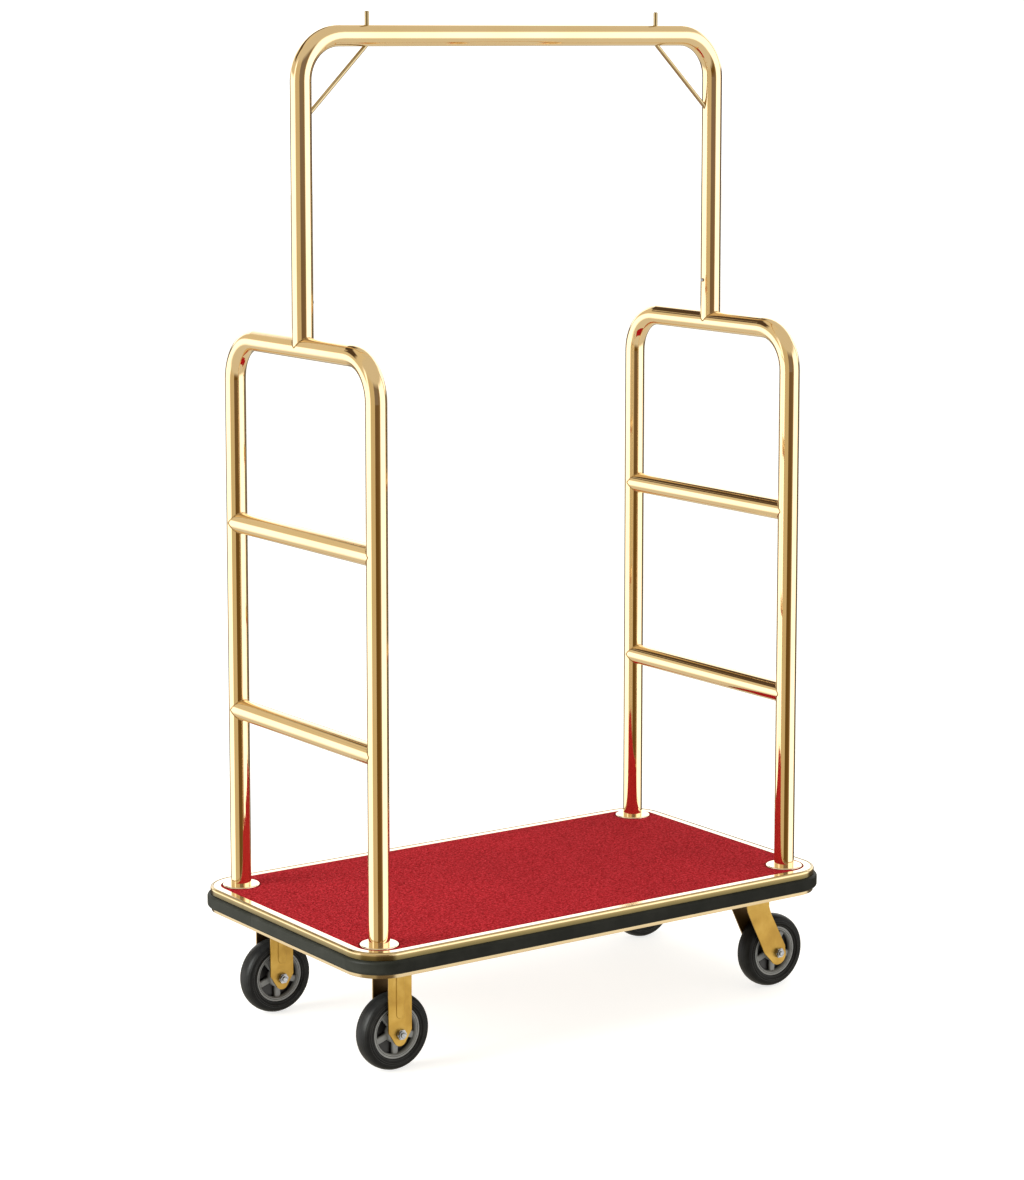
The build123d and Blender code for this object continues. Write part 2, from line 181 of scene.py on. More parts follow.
def finishTube(look):
    # brass-plated tube or rod: warm drifts in the plating, faint haze where hands go
    finish, tree, shader = startFinish(look["name"], look["gold"], metal=1.0, rough=look["rough"][0])
    place = objectPlace(tree)
    drift = cloudNoise(tree, place, *look["drift"])
    toneBy(tree, shader, drift, look["driftStops"], look["gold"], look["pale"])
    haze = cloudNoise(tree, place, *look["haze"])
    roughBy(tree, shader, haze, look["hazeStops"], look["rough"])
    relief(tree, shader, cloudNoise(tree, place, *look["ripple"]), *look["relief"])
    return finish


# the tones listed by height are painted reflection: light and dark bands, a highlight among them, that stand
# in for what the edge mirrors
edgeLook = dict(gold=(0.84, 0.66, 0.38), rough=(0.13, 0.28), roughStops=(0.35, 0.66), low=0.196, high=0.2445,
                drawn=(3, 3, 420), lines=(2.0, 4.0, 0.7), patches=(17.0, 4.0, 0.6), share=0.5,
                rubs=((0.36, 0.92), (0.72, 1.08)), relief=(0.12, 0.0004),
                paintedReflectionBands=((0.1965, (0.50, 0.385, 0.225)), (0.2060, (0.57, 0.45, 0.265)),
                         (0.2290, (0.115, 0.090, 0.040)), (0.2345, (0.190, 0.147, 0.060)),
                         (0.2378, (0.275, 0.208, 0.090)), (0.2392, (0.84, 0.66, 0.38)),
                         (0.2419, (0.84, 0.66, 0.38)), (0.2432, (0.47, 0.375, 0.225))))  # height, tone


def finishEdge():
    # rolled edging: drawn lines round the deck, small rubs, and painted reflection bands whose tone follows
    # the profile's height
    look = edgeLook
    finish, tree, shader = startFinish("rolledGoldEdge", look["gold"], metal=1.0, rough=look["rough"][0])
    place = objectPlace(tree)
    level = bandOver(tree, splitPlace(tree, place)["Z"], look["low"], look["high"])
    span = look["high"] - look["low"]
    # painted reflection: the base colour follows the height through the edge's profile
    paintedBands = ramp(tree, level, [((z - look["low"]) / span, tone) for z, tone in look["paintedReflectionBands"]])
    lines = cloudNoise(tree, objectPlace(tree, look["drawn"]), *look["lines"])
    patches = cloudNoise(tree, place, *look["patches"])
    rubbed = blendColours(tree, 1.0, paintedBands, ramp(tree, patches, look["rubs"]), "MULTIPLY")
    tree.links.new(rubbed, shader.inputs["Base Color"])
    mixed = sums(tree, "MULTIPLY_ADD", lines, look["share"], sums(tree, "MULTIPLY", patches, look["share"]))
    roughBy(tree, shader, mixed, look["roughStops"], look["rough"])
    relief(tree, shader, lines, *look["relief"])
    return finish


bindingLook = dict(gold=(0.94, 0.86, 0.70), warm=(0.93, 0.78, 0.55), drift=(11.0, 4.0, 0.6),
                   toneStops=(0.40, 0.75), rough=(0.10, 0.20), roughStops=(0.35, 0.7),
                   grain=(260.0, 3.0), relief=(0.06, 0.0002))


def finishBinding():
    # pale gold flats let into the deck: the binding strip and the discs at the post feet
    look = bindingLook
    finish, tree, shader = startFinish("paleGoldBinding", look["gold"], metal=1.0, rough=look["rough"][0])
    place = objectPlace(tree)
    drift = cloudNoise(tree, place, *look["drift"])
    toneBy(tree, shader, drift, look["toneStops"], look["gold"], look["warm"])
    roughBy(tree, shader, drift, look["roughStops"], look["rough"])
    relief(tree, shader, cloudNoise(tree, place, *look["grain"]), *look["relief"])
    return finish


weldLook = dict(gold=(0.72, 0.52, 0.27), shade=(0.40, 0.27, 0.12), ripple=(420.0, 3.0, 0.6),
                toneStops=(0.38, 0.66), rough=(0.16, 0.34), roughStops=(0.3, 0.7), relief=(0.5, 0.0004))


def finishWeld():
    # dressed seam: the same plating over a faintly rippled bead
    look = weldLook
    finish, tree, shader = startFinish("dressedWeld", look["gold"], metal=1.0, rough=look["rough"][0])
    ripple = cloudNoise(tree, objectPlace(tree), *look["ripple"])
    toneBy(tree, shader, ripple, look["toneStops"], look["shade"], look["gold"])
    roughBy(tree, shader, ripple, look["roughStops"], look["rough"])
    relief(tree, shader, ripple, *look["relief"])
    return finish


# the tone inside the legs is painted shade, laid on the faces towards the wheel and on all that lies within
# them
casterLook = dict(gold=(0.50, 0.300, 0.052), deep=(0.42, 0.24, 0.038), pale=(0.60, 0.39, 0.090), metal=0.6,
                  tint=(26.0, 4.0, 0.55, 0.3), tintStops=(0.26, 0.50, 0.80),
                  rough=(0.34, 0.50), roughStops=(0.3, 0.7), grain=(900.0, 3.0, 0.6), relief=(0.18, 0.0002),
                  legs=(0.0243, 0.0262), paintedShadeInside=(0.16, 0.13, 0.12))  # a leg's two faces, tone inside them


def finishCaster():
    # pressed steel in satin yellow plating: cloudy tint, fine grain, and painted shade, dark brown, on the
    # legs' inner faces towards the wheel
    look = casterLook
    finish, tree, shader = startFinish("satinGoldCaster", look["gold"], look["metal"], look["rough"][0])
    place = objectPlace(tree)
    cloud = cloudNoise(tree, place, *look["tint"])
    tint = ramp(tree, cloud, list(zip(look["tintStops"], (look["deep"], look["gold"], look["pale"]))))
    # painted shade: nearer the wheel's middle than the legs' outer faces the colour is darkened
    outward = bandOver(tree, fromWheelPlane(tree, place), *look["legs"])
    shade = ramp(tree, outward, [(0.0, look["paintedShadeInside"]), (1.0, 1.0)])
    tree.links.new(blendColours(tree, 1.0, tint, shade, "MULTIPLY"), shader.inputs["Base Color"])
    roughBy(tree, shader, cloud, look["roughStops"], look["rough"][::-1])
    relief(tree, shader, cloudNoise(tree, place, *look["grain"]), *look["relief"])
    return finish


zincLook = dict(zinc=(0.50, 0.51, 0.52), dull=(0.24, 0.25, 0.27), spangle=(210.0, 4.0, 0.6),
                toneStops=(0.35, 0.7), rough=(0.14, 0.34), roughStops=(0.3, 0.7), relief=(0.1, 0.0002))


def finishZinc():
    # zinc-plated fasteners: small bright and dull spangles
    look = zincLook
    finish, tree, shader = startFinish("brightZinc", look["zinc"], metal=1.0, rough=look["rough"][0])
    spangle = cloudNoise(tree, objectPlace(tree), *look["spangle"])
    toneBy(tree, shader, spangle, look["toneStops"], look["dull"], look["zinc"])
    roughBy(tree, shader, spangle, look["roughStops"], look["rough"][::-1])
    relief(tree, shader, spangle, *look["relief"])
    return finish


steelLook = dict(steel=(0.42, 0.41, 0.39), dark=(0.26, 0.25, 0.24), blotch=(60.0, 5.0, 0.6),
                 toneStops=(0.35, 0.7), rough=(0.28, 0.5), roughStops=(0.3, 0.7),
                 grain=(700.0, 2.0), relief=(0.12, 0.0002))


def finishSteel():
    # bare steel inside the cart, blotched where oil has dried
    look = steelLook
    finish, tree, shader = startFinish("plainSteel", look["steel"], metal=1.0, rough=look["rough"][0])
    place = objectPlace(tree)
    blotch = cloudNoise(tree, place, *look["blotch"])
    toneBy(tree, shader, blotch, look["toneStops"], look["dark"], look["steel"])
    roughBy(tree, shader, blotch, look["roughStops"], look["rough"][::-1])
    relief(tree, shader, cloudNoise(tree, place, *look["grain"]), *look["relief"])
    return finish


bumperLook = dict(black=(0.0100, 0.0107, 0.0085), rubbed=(0.019, 0.0195, 0.0165), specular=0.08,
                  rub=(21.0, 6.0, 0.66, 0.3), toneStops=(0.42, 0.78), rough=(0.40, 0.56),
                  roughStops=(0.35, 0.7), grain=(520.0, 4.0, 0.65), relief=(0.28, 0.0004))


def finishBumper():
    # extruded rubber strip: matt black, greyer where it has been rubbed, a fine moulded grain
    look = bumperLook
    finish, tree, shader = startFinish("rubberBumper", look["black"], rough=look["rough"][0],
                                       Specular_IOR_Level=look["specular"])
    place = objectPlace(tree)
    rub = cloudNoise(tree, place, *look["rub"])
    toneBy(tree, shader, rub, look["toneStops"], look["black"], look["rubbed"])
    roughBy(tree, shader, rub, look["roughStops"], look["rough"])
    relief(tree, shader, cloudNoise(tree, place, *look["grain"]), *look["relief"])
    return finish


moulded = dict(dust=(30.0, 6.0, 0.65), toneStops=(0.44, 0.80), rough=(0.36, 0.50), roughStops=(0.35, 0.7),
               grain=(640.0, 3.0, 0.6), relief=(0.22, 0.0003), specular=0.13)
tyreLook = dict(moulded, name="rubberTyre", black=(0.0060, 0.0061, 0.0063), dusty=(0.016, 0.016, 0.015))
ribLook = dict(moulded, name="dustedTyreRib", black=(0.030, 0.031, 0.031), dusty=(0.055, 0.055, 0.053))


def finishTyre(look):
    # moulded rubber with a little dust ground in
    finish, tree, shader = startFinish(look["name"], look["black"], rough=look["rough"][0],
                                       Specular_IOR_Level=look["specular"])
    place = objectPlace(tree)
    dust = cloudNoise(tree, place, *look["dust"])
    toneBy(tree, shader, dust, look["toneStops"], look["black"], look["dusty"])
    roughBy(tree, shader, dust, look["roughStops"], look["rough"])
    relief(tree, shader, cloudNoise(tree, place, *look["grain"]), *look["relief"])
    return finish


# the near-black tone is painted shade for the pockets, starting and full at the listed distances from the
# wheel's middle
hubLook = dict(grey=(0.200, 0.208, 0.206), pale=(0.265, 0.270, 0.265), paintedPocketShade=(0.010, 0.010, 0.011),
               flow=(44.0, 4.0, 0.6, 0.8), toneStops=(0.36, 0.70), rough=(0.34, 0.48), roughStops=(0.3, 0.7),
               grain=(480.0, 3.0), relief=(0.15, 0.0003),
               pocket=(0.0092, 0.0046))  # distance from the wheel's middle where the grime starts and is full


def finishHub():
    # moulded nylon: even grey, faint flow marks, soft gloss, and painted shade, near black, deep in the
    # pockets between the spokes
    look = hubLook
    finish, tree, shader = startFinish("greyNylonHub", look["grey"], rough=look["rough"][0])
    place = objectPlace(tree)
    flow = cloudNoise(tree, place, *look["flow"])
    clean = blendColours(tree, ramp(tree, flow, list(zip(look["toneStops"], (0.0, 1.0)))),
                         look["grey"], look["pale"])
    # painted shade deep in the pockets between the spokes
    deep = bandOver(tree, fromWheelPlane(tree, place), *look["pocket"])
    tree.links.new(blendColours(tree, deep, clean, look["paintedPocketShade"]), shader.inputs["Base Color"])
    roughBy(tree, shader, flow, look["roughStops"], look["rough"])
    relief(tree, shader, cloudNoise(tree, place, *look["grain"]), *look["relief"])
    return finish


boardLook = dict(pale=(0.47, 0.31, 0.165), dark=(0.28, 0.165, 0.075), bright=(0.56, 0.39, 0.22), rough=0.62,
                 stretch=(3, 46, 46), grain=(4.0, 8.0, 0.68, 0.6), grainStops=(0.32, 0.52, 0.76),
                 ply=0.0012, bandStep=0.314, waver=0.2, plyShade=0.35, relief=(0.25, 0.0004))


def finishBoard():
    # birch plywood: long grain in the faces, ply lines in the edges
    look = boardLook
    finish, tree, shader = startFinish("plywoodBoard", look["pale"], rough=look["rough"])
    grain = cloudNoise(tree, objectPlace(tree, look["stretch"]), *look["grain"])
    wood = ramp(tree, grain, list(zip(look["grainStops"], (look["dark"], look["pale"], look["bright"]))))
    layer = tree.nodes.new("ShaderNodeTexWave")
    layer.wave_type, layer.bands_direction = "BANDS", "Z"
    layer.inputs["Scale"].default_value = look["bandStep"] / (look["ply"] * 2)  # one light and one dark ply
    layer.inputs["Distortion"].default_value = look["waver"]
    tree.links.new(objectPlace(tree), layer.inputs["Vector"])
    lines = ramp(tree, layer.outputs["Fac"], [(0.0, 0.0), (1.0, look["plyShade"])])
    tree.links.new(blendColours(tree, lines, wood, look["dark"]), shader.inputs["Base Color"])
    relief(tree, shader, grain, *look["relief"])
    return finish


coatLook = dict(black=(0.016, 0.016, 0.017), pale=(0.032, 0.032, 0.033), patch=(14.0, 4.0),
                toneStops=(0.35, 0.7), rough=(0.36, 0.52), roughStops=(0.3, 0.7),
                peel=(430.0, 2.0), relief=(0.35, 0.0003))


def finishUnderframe():
    # black powder coat with its fine orange peel
    look = coatLook
    finish, tree, shader = startFinish("blackPowderCoat", look["black"], rough=look["rough"][0])
    place = objectPlace(tree)
    patch = cloudNoise(tree, place, *look["patch"])
    toneBy(tree, shader, patch, look["toneStops"], look["black"], look["pale"])
    roughBy(tree, shader, patch, look["roughStops"], look["rough"])
    relief(tree, shader, cloudNoise(tree, place, *look["peel"]), *look["relief"])
    return finish


# the root and tip tones are painted shade in the pile's hollows and a painted highlight on its tips; shade
# and bright are painted light on leaning tufts
pileLook = dict(shadedRoot=(0.120, 0.001, 0.002), yarn=(0.355, 0.0090, 0.0165), litTip=(0.60, 0.040, 0.058),
                shade=(0.195, 0.0015, 0.0040), bright=(0.55, 0.034, 0.050), rough=0.95, specular=0.03,
                sheen=0.04, sheenRough=0.5, sheenTint=(1.0, 0.35, 0.35, 1),
                tuft=(330.0, 3.0, 0.62), tuftStops=(0.24, 0.37, 0.50), cell=1.25, cellDepth=0.35,
                fleck=(215.0, 2.0, 0.7), fleckStops=(0.40, 0.50, 0.61), fleckShare=0.55,
                drift=(6.0, 4.0, 0.6), driftTone=((0.3, 0.93), (0.75, 1.06)), relief=(0.75, 0.0022))


def finishCarpet():
    # dense cut pile: red yarn, with painted shade low between the tufts and a painted highlight on their
    # tips, and flecks of painted light and shade where the tufts lean
    look = pileLook
    finish, tree, shader = startFinish("redCarpetPile", look["yarn"], rough=look["rough"],
                                       Sheen_Weight=look["sheen"], Sheen_Roughness=look["sheenRough"],
                                       Sheen_Tint=look["sheenTint"], Specular_IOR_Level=look["specular"])
    place = objectPlace(tree)
    cells = tree.nodes.new("ShaderNodeTexVoronoi")
    cells.inputs["Scale"].default_value = look["tuft"][0] * look["cell"]
    tree.links.new(place, cells.inputs["Vector"])
    hollows = sums(tree, "MULTIPLY", cells.outputs["Distance"], look["cellDepth"])
    height = sums(tree, "SUBTRACT", cloudNoise(tree, place, *look["tuft"]), hollows)
    # painted light by pile height: shade in the hollows between the tufts, highlight on their tips
    yarn = ramp(tree, height, list(zip(look["tuftStops"], (look["shadedRoot"], look["yarn"], look["litTip"]))))
    # flecks of painted light and shade where the tufts lean
    flecks = cloudNoise(tree, place, *look["fleck"])
    tone = ramp(tree, flecks, list(zip(look["fleckStops"], (look["shade"], look["yarn"], look["bright"]))))
    drift = ramp(tree, cloudNoise(tree, place, *look["drift"]), look["driftTone"])
    mixed = blendColours(tree, look["fleckShare"], yarn, tone)
    tree.links.new(blendColours(tree, 1.0, mixed, drift, "MULTIPLY"), shader.inputs["Base Color"])
    relief(tree, shader, height, *look["relief"])
    return finish


finishes = {
    "gold_tube": finishTube(tubeLook), "gold_edge": finishEdge(), "caster_gold": finishCaster(),
    "zinc": finishZinc(), "inner_steel": finishSteel(), "bumper": finishBumper(),
    "tyre": finishTyre(tyreLook), "hub": finishHub(), "board": finishBoard(),
    "underframe": finishUnderframe(), "carpet": finishCarpet(), "binding": finishBinding(),
    "weld": finishWeld(), "rod": finishTube(rodLook), "rib": finishTyre(ribLook),
}
print("luggage cart:", len(finishes), "finishes made")

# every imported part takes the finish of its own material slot, and four have a finish of their own
for thing in nodes.values():
    for place in thing.material_slots:
        place.material = finishes[place.material.name.split(".")[0]]
ownFinish = dict(binding_strip="binding", post_flanges="binding", left_stop_rod="rod", right_stop_rod="rod")
for part, kind in ownFinish.items():
    for place in nodes[part].material_slots:
        place.material = finishes[kind]
print("luggage cart: finishes on the packed parts")

view = dict(place=(-3.3024, -4.7001, 1.8126), yaw=35.024, pitch=-7.525, lens=95.49, sensor=36, shiftY=-0.1203,
            clip=(0.1, 100))

# what the polish mirrors: turns are degrees round the cart from where one stands to look at it,
# and rises are degrees above the horizon
room = dict(white=(1.75, 1.72, 1.66), golden=(0.63, 0.53, 0.34), rear=(0.15, 0.125, 0.10),
            dark=(0.145, 0.080, 0.020), dusk=(0.23, 0.18, 0.14), brown=(0.25, 0.17, 0.08),
            shelf=(0.73, 0.64, 0.46), beam=(0.085, 0.055, 0.032), ceiling=(0.68, 0.62, 0.49),
            ground=(0.70, 0.65, 0.53), backdrop=(1.3, 1.3, 1.3),
            rearTurn=(-178, -134, 113, 178), leftWhite=(-125, -64), goldenTurn=(-55, -12), darkTurn=(-9, 20),
            brownTurn=(40,), rightWhite=(51, 106), darkRise=(-9, -1),
            sweepTurn=(-142, -128, 113, 122), sweepRise=(1.5, 5), ceilingRise=(24, 36),
            shelfTurn=(-144, -136, -76, -66), shelfRise=(5, 10),
            beams=(((-176, -168, -118, -108), 31), ((-122, -118, -98, -90), 23)),  # span, underside
            beamSoft=3, beamTop=(47, 52), groundRise=(-28, -16))


def turnAt(degrees):
    return 0.5 + degrees / 360


def riseAt(degrees):
    return 0.5 + 0.5 * math.sin(math.radians(degrees))


def turnBand(tree, turn, degrees, levels=(0.0, 1.0, 1.0, 0.0)):
    return ramp(tree, turn, [(turnAt(d), level) for d, level in zip(degrees, levels)])


def riseBand(tree, height, degrees, levels=(0.0, 1.0)):
    return ramp(tree, height, [(riseAt(d), level) for d, level in zip(degrees, levels)])


def wallsRound(tree, turn, dark):
    # the walls once round, with a dark stand in front of the cart
    spans = ((room["rearTurn"][:2], room["rear"]), (room["leftWhite"], room["white"]),
             (room["goldenTurn"], room["golden"]), (room["darkTurn"], dark),
             (room["brownTurn"], room["brown"]), (room["rightWhite"], room["white"]),
             (room["rearTurn"][2:], room["rear"]))
    return ramp(tree, turn, [(turnAt(d), tone) for degrees, tone in spans for d in degrees])


def makeRoom():
    world = bpy.data.worlds.new("studio")
    bpy.context.scene.world = world
    world.use_nodes = True
    tree = world.node_tree
    place = tree.nodes.new("ShaderNodeTexCoord")
    across, along, up = splitPlace(tree, place.outputs["Generated"])
    turn = sums(tree, "ARCTAN2", across, sums(tree, "MULTIPLY", along, -1.0))
    turn = sums(tree, "FRACT", sums(tree, "MULTIPLY_ADD", turn, 1 / (2 * math.pi), turnAt(view["yaw"])))
    height = sums(tree, "MULTIPLY_ADD", up, 0.5, 0.5)

    # the dark stand in front is deeper lower down
    shade = blendColours(tree, riseBand(tree, height, room["darkRise"]),
                         wallsRound(tree, turn, room["dark"]), wallsRound(tree, turn, room["dusk"]))
    # a white sweep stands behind the cart from just above its foot line
    sweep = sums(tree, "MULTIPLY", riseBand(tree, height, room["sweepRise"]),
                 turnBand(tree, turn, room["sweepTurn"], (1.0, 0.0, 0.0, 1.0)))
    shade = blendColours(tree, sweep, shade, room["white"])
    shade = blendColours(tree, riseBand(tree, height, room["ceilingRise"]), shade, room["ceiling"])
    # a tan shelf over the white at the back left, and a dark beam over the shelf, lower at its near end
    shelf = sums(tree, "MULTIPLY", turnBand(tree, turn, room["shelfTurn"]),
                 riseBand(tree, height, room["shelfRise"]))
    shade = blendColours(tree, shelf, shade, room["shelf"])
    for span, low in room["beams"]:
        rises = (low, low + room["beamSoft"], *room["beamTop"])
        beam = sums(tree, "MULTIPLY", turnBand(tree, turn, span),
                    riseBand(tree, height, rises, (0.0, 1.0, 1.0, 0.0)))
        shade = blendColours(tree, beam, shade, room["beam"])
    shade = blendColours(tree, riseBand(tree, height, room["groundRise"], (1.0, 0.0)), shade, room["ground"])
    seen = tree.nodes.new("ShaderNodeLightPath").outputs["Is Camera Ray"]
    shade = blendColours(tree, seen, shade, room["backdrop"])
    tree.links.new(shade, tree.nodes["Background"].inputs["Color"])


floorLook = dict(pale=(0.52, 0.52, 0.515), paler=1.03, speck=(3.0, 3.0), stops=(0.3, 0.7), rough=0.8,
                 specular=0.1, glowTone=(1.0, 1.0, 0.99, 1), glow=0.74, half=26, cuts=8, drop=0.0004)


def makeFloor():
    # a lit sweep, pale to the horizon
    plane = bpy.data.meshes.new("studioFloor")
    maker = bmesh.new()
    bmesh.ops.create_grid(maker, x_segments=floorLook["cuts"], y_segments=floorLook["cuts"],
                          size=floorLook["half"])
    maker.to_mesh(plane)
    maker.free()
    floor = bpy.data.objects.new("studioFloor", plane)
    floor.location.z = -floorLook["drop"]
    bpy.context.scene.collection.objects.link(floor)
    pale = floorLook["pale"]
    finish, tree, shader = startFinish("paleFloor", pale, rough=floorLook["rough"],
                                       Specular_IOR_Level=floorLook["specular"],
                                       Emission_Color=floorLook["glowTone"],
                                       Emission_Strength=floorLook["glow"])
    speck = cloudNoise(tree, objectPlace(tree), *floorLook["speck"])
    tones = (pale, tuple(v * floorLook["paler"] for v in pale))
    tree.links.new(ramp(tree, speck, list(zip(floorLook["stops"], tones))), shader.inputs["Base Color"])
    plane.materials.append(finish)
    floor.visible_glossy = False  # the room already holds the ground that the polish mirrors


lamps = dict(
    keyLight=dict(size=3.0, power=190, place=(-4.2, 0.9, 1.9), aim=(0, 0, 0.4), tint=(1.0, 0.98, 0.95)),
    topLight=dict(size=3.2, power=70, place=(0.4, -0.6, 4.2), aim=(0, 0, 0.2), tint=(1.0, 0.99, 0.97)),
    rubberLight=dict(size=1.9, power=240, place=(-3.4, -0.3, 1.5), aim=(0, 0, 0.15), tint=(0.97, 1.0, 0.97)),
)


def makeLamp(name):
    setting = lamps[name]
    lamp = bpy.data.lights.new(name, "AREA")
    lamp.shape, lamp.size = "DISK", setting["size"]
    lamp.energy, lamp.color = setting["power"], setting["tint"]
    holder = bpy.data.objects.new(name, lamp)
    holder.location = setting["place"]
    holder.rotation_euler = (Vector(setting["aim"]) - holder.location).to_track_quat("-Z", "Y").to_euler()
    bpy.context.scene.collection.objects.link(holder)
    return holder


def makeLamps():
    for name in ("keyLight", "topLight"):
        makeLamp(name).visible_glossy = False
    # a low light from the left that only the rubber takes
    rubberParts = bpy.data.collections.new("rubberParts")
    for part in ("bumper_strip", *(f"{wheel}_tyre" for wheel in wheelNames)):
        rubberParts.objects.link(nodes[part])
    makeLamp("rubberLight").light_linking.receiver_collection = rubberParts


def makeCamera():
    lens = bpy.data.cameras.new("camera")
    lens.lens, lens.sensor_width, lens.shift_y = view["lens"], view["sensor"], view["shiftY"]
    lens.clip_start, lens.clip_end = view["clip"]
    camera = bpy.data.objects.new("camera", lens)
    yaw, pitch = math.radians(view["yaw"]), math.radians(view["pitch"])
    forward = Vector((math.sin(yaw) * math.cos(pitch), math.cos(yaw) * math.cos(pitch), math.sin(pitch)))
    camera.location = view["place"]
    camera.rotation_euler = forward.to_track_quat("-Z", "Y").to_euler()
    bpy.context.scene.collection.objects.link(camera)
    bpy.context.scene.camera = camera
    bpy.context.scene.view_settings.view_transform = "Standard"


makeRoom()
makeFloor()
makeLamps()
makeCamera()
print("luggage cart: studio and camera set")


def addPiece(name, maker, finish, body, smoothAngle=40):
    bmesh.ops.recalc_face_normals(maker, faces=maker.faces)
    mesh = bpy.data.meshes.new(name)
    maker.to_mesh(mesh)
    maker.free()
    mesh.polygons.foreach_set("use_smooth", [True] * len(mesh.polygons))
    mesh.set_sharp_from_angle(angle=math.radians(smoothAngle))
    mesh.materials.append(finish)
    piece = bpy.data.objects.new(name, mesh)
    bpy.context.scene.collection.objects.link(piece)
    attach(piece, body)
    return piece


def roundTurns(count, start=0.0):
    return [2 * math.pi * (k + start) / count for k in range(count)]


carpetCut = dict(corner=0.0495, cornerSteps=14, holeRadius=0.0355, holeSteps=56,  # metres, and steps round
                 weave=0.008, clear=0.4,  # size of the net's cells, and the room left at the rim, in cells
                 rim=0.0007, rimDrop=0.0007, lift=0.00005, wave=0.00022, waveLength=0.055, level=0.3,
                 merge=1e-7, smooth=60)


def postFeet():
    low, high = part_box("right_hoop_tube")
    postX, postY = (low.x + high.x) / 2, high.y - tubeRadius
    return [(side * postX, end * postY) for side in (-1, 1) for end in (-1, 1)]


def carpetOutline(halfX, halfY, inset):
    # straight runs with a quarter round at each corner
    loop, steps = [], carpetCut["cornerSteps"]
    reachX, reachY = halfX - carpetCut["corner"], halfY - carpetCut["corner"]
    radius = carpetCut["corner"] - inset
    for quarter, (sx, sy) in enumerate(((1, 1), (-1, 1), (-1, -1), (1, -1))):
        for step in range(steps + 1):
            angle = math.pi / 2 * (quarter + step / steps)
            loop.append((sx * reachX + radius * math.cos(angle), sy * reachY + radius * math.sin(angle)))
        run = 2 * (reachX if quarter % 2 == 0 else reachY)
        pieces = round(run / carpetCut["weave"])
        startX, startY = loop[-1]
        goX, goY = ((-run, 0), (0, -run), (run, 0), (0, run))[quarter]
        loop += [(startX + goX * k / pieces, startY + goY * k / pieces) for k in range(1, pieces)]
    return loop


def carpetMesh(low, high, feet):
    # a flat net cut to the outline and the four holes, then given its thickness
    halfX, halfY = high.x, high.y

    def insideBy(x, y):
        overX = abs(x) - (halfX - carpetCut["corner"])
        overY = abs(y) - (halfY - carpetCut["corner"])
        outer = carpetCut["corner"] - math.hypot(max(overX, 0), max(overY, 0)) - min(max(overX, overY), 0)
        return min(outer, min(math.hypot(x - fx, y - fy) - carpetCut["holeRadius"] for fx, fy in feet))

    def pileTop(spot):
        rim = insideBy(spot.x, spot.y) < carpetCut["rim"] / 2
        sway = noise.noise(Vector((spot.x, spot.y, carpetCut["level"])) / carpetCut["waveLength"])
        return high.z - (carpetCut["rimDrop"] if rim else 0) + carpetCut["wave"] * (sway - 0.5)

    loops = [carpetOutline(halfX, halfY, inset) for inset in (0.0, carpetCut["rim"])]
    for footX, footY in feet:
        for radius in (carpetCut["holeRadius"], carpetCut["holeRadius"] + carpetCut["rim"]):
            loops.append([(footX + radius * math.cos(t), footY + radius * math.sin(t))
                          for t in roundTurns(carpetCut["holeSteps"])])
    points, seams = [], []
    for loop in loops:
        first = len(points)
        points += loop
        seams += [(first + k, first + (k + 1) % len(loop)) for k in range(len(loop))]
    across, along = round(2 * halfX / carpetCut["weave"]), round(2 * halfY / carpetCut["weave"])
    for i in range(1, across):
        for j in range(1, along):
            spot = (-halfX + 2 * halfX * i / across, -halfY + 2 * halfY * j / along)
            if insideBy(*spot) > carpetCut["rim"] + carpetCut["clear"] * carpetCut["weave"]:
                points.append(spot)
    flat = [Vector(p) for p in points]
    spots, _, cells, *_ = geometry.delaunay_2d_cdt(flat, seams, [], 0, carpetCut["merge"])
    kept = [c for c in cells if insideBy(*(sum((spots[k] for k in c), Vector((0, 0))) / len(c))) > 0]

    maker = bmesh.new()
    top = [maker.verts.new((p.x, p.y, pileTop(p))) for p in spots]
    under = [maker.verts.new((p.x, p.y, low.z + carpetCut["lift"])) for p in spots]
    for cell in kept:
        maker.faces.new([top[k] for k in cell])
        maker.faces.new([under[k] for k in reversed(cell)])
    sides = dict.fromkeys((k, m) for cell in kept for k, m in zip(cell, (*cell[1:], cell[0])))
    for k, m in sides:
        if (m, k) not in sides:  # an edge with one face is on the rim
            maker.faces.new((top[m], top[k], under[k], under[m]))
    bmesh.ops.delete(maker, geom=[v for v in maker.verts if not v.link_faces], context="VERTS")
    return maker


def layCarpet():
    # a laid mat: rounded corners, a round hole for each post foot, a cut rim, a slightly uneven pile
    low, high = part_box("carpet")
    feet = postFeet()
    mat = addPiece("carpet_mat", carpetMesh(low, high, feet), finishes["carpet"], "cart",
                   carpetCut["smooth"])
    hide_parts("carpet")


layCarpet()
print("luggage cart: carpet laid")

beadCut = dict(radius=0.0011, turns=72, section=8, standOff=0.00033, stubLift=0.0003)


def beadAlong(maker, path, radius):
    # a thin bead along a closed path, its section carried round without a twist
    section, rings, side = beadCut["section"], [], None
    for k, point in enumerate(path):
        ahead = (path[(k + 1) % len(path)] - path[k - 1]).normalized()
        side = (ahead.orthogonal() if side is None else side - ahead * side.dot(ahead)).normalized()
        lift = ahead.cross(side)
        rings.append([maker.verts.new(point + radius * (math.cos(t) * side + math.sin(t) * lift))
                      for t in roundTurns(section)])
    # the last ring meets the first at the corner that lies nearest
    shift = min(range(section), key=lambda n: (rings[-1][0].co - rings[0][n].co).length)
    for k, near in enumerate(rings):
        far = rings[(k + 1) % len(rings)]
        turn = shift if near is rings[-1] else 0
        for n in range(section):
            maker.faces.new((near[n], near[(n + 1) % section],
                             far[(n + 1 + turn) % section], far[(n + turn) % section]))


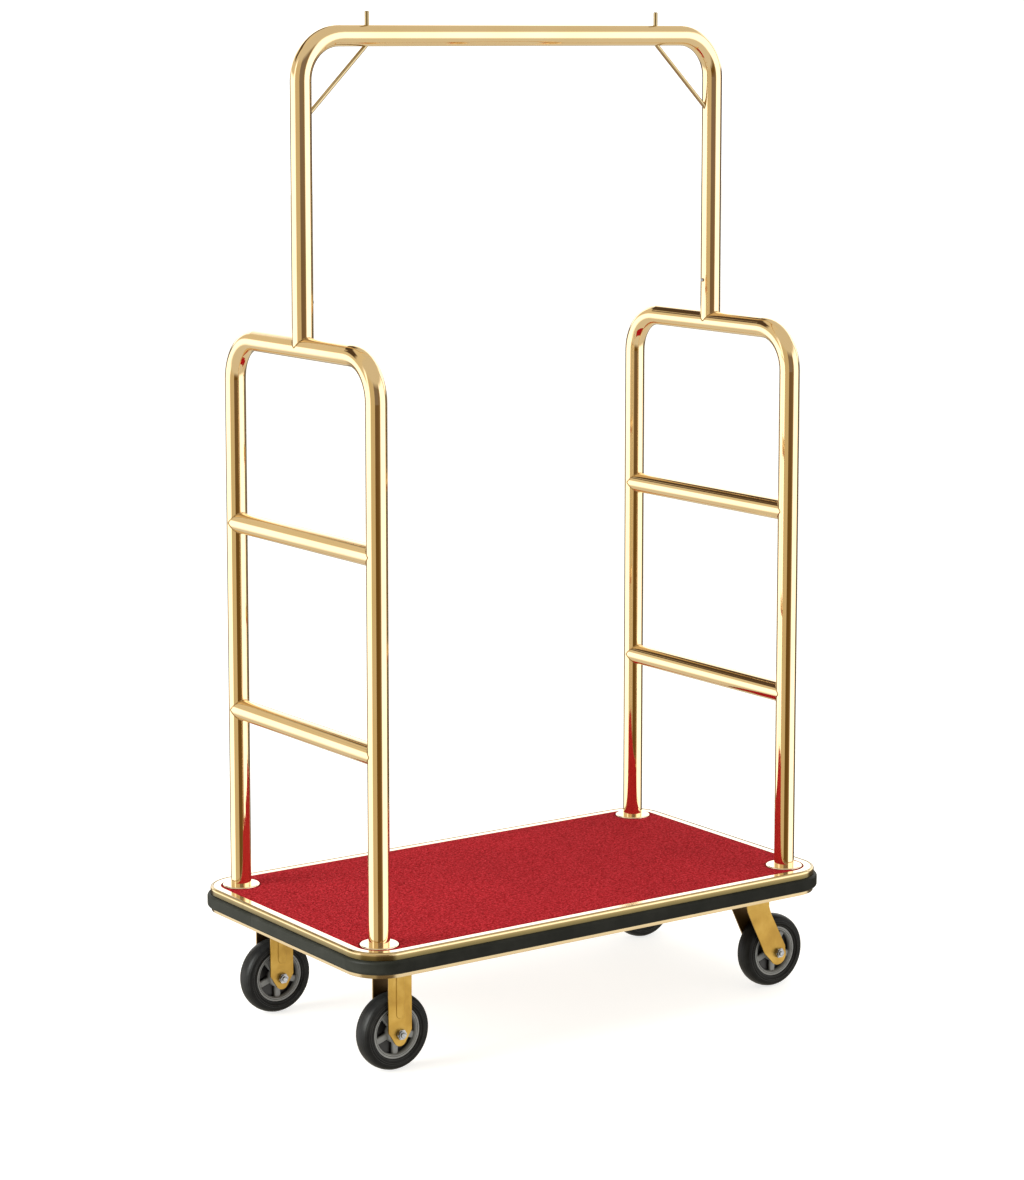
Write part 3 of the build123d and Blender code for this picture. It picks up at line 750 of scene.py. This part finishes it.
def weldJoints():
    # each rung meets its posts, and each stub its hoop, in a saddle-shaped seam
    for end in ("left", "right"):
        maker = bmesh.new()
        low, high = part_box(f"{end}_hoop_tube")
        radius, middleX = (high.x - low.x) / 2, (high.x + low.x) / 2
        saddle = [(radius * math.cos(t), radius * math.sin(t), abs(radius * math.sin(t)))
                  for t in roundTurns(beadCut["turns"], 0.5)]
        for level in ("upper", "lower"):
            rungZ = nodeMid(f"{end}_{level}_rung").z
            reach = high.y - radius - beadCut["standOff"]
            for way in (-1, 1):
                path = [Vector((middleX + x, way * (reach - dip), rungZ + z)) for x, z, dip in saddle]
                beadAlong(maker, path, beadCut["radius"])
        stub = nodeMid(f"{end}_arch_stub")
        seamZ = high.z - radius + beadCut["stubLift"]
        beadAlong(maker, [Vector((stub.x + x, stub.y + y, seamZ + rise)) for x, y, rise in saddle],
                  beadCut["radius"])
        addPiece(f"{end}_weld_beads", maker, finishes["weld"], "cart")


weldJoints()
print("luggage cart: weld seams drawn")

tyreRibs = dict(rings=((0.0500, 0.00211), (0.0550, 0.0), (0.0582, 0.0010)),  # radius, depth below the wall
                rimRadius=0.0438, rimOffset=0.0148, bead=0.0005, turns=96)


def ringsRound(middle, rings):
    # beads round a wheel's axle, on both its sides; each ring is (radius, distance from the wheel's middle)
    maker = bmesh.new()
    for way in (-1, 1):
        for radius, offset in rings:
            path = [middle + Vector((radius * math.cos(t), way * offset, radius * math.sin(t)))
                    for t in roundTurns(tyreRibs["turns"])]
            beadAlong(maker, path, tyreRibs["bead"])
    return maker


def ribTyres():
    # fine moulded rings on both walls of every tyre, and the dark line where it grips the rim
    for wheel in wheelNames:
        low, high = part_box(f"{wheel}_tyre")
        middle, half = (low + high) / 2, (high.y - low.y) / 2
        ribs = ringsRound(middle, [(radius, half - depth) for radius, depth in tyreRibs["rings"]])
        addPiece(f"{wheel}_tyre_ribs", ribs, finishes["rib"], f"{wheel}_wheel")
        groove = ringsRound(middle, [(tyreRibs["rimRadius"], tyreRibs["rimOffset"])])
        addPiece(f"{wheel}_rim_groove", groove, finishes["tyre"], f"{wheel}_wheel")


ribTyres()
print("luggage cart: tyre walls ribbed")

print("luggage cart: done")
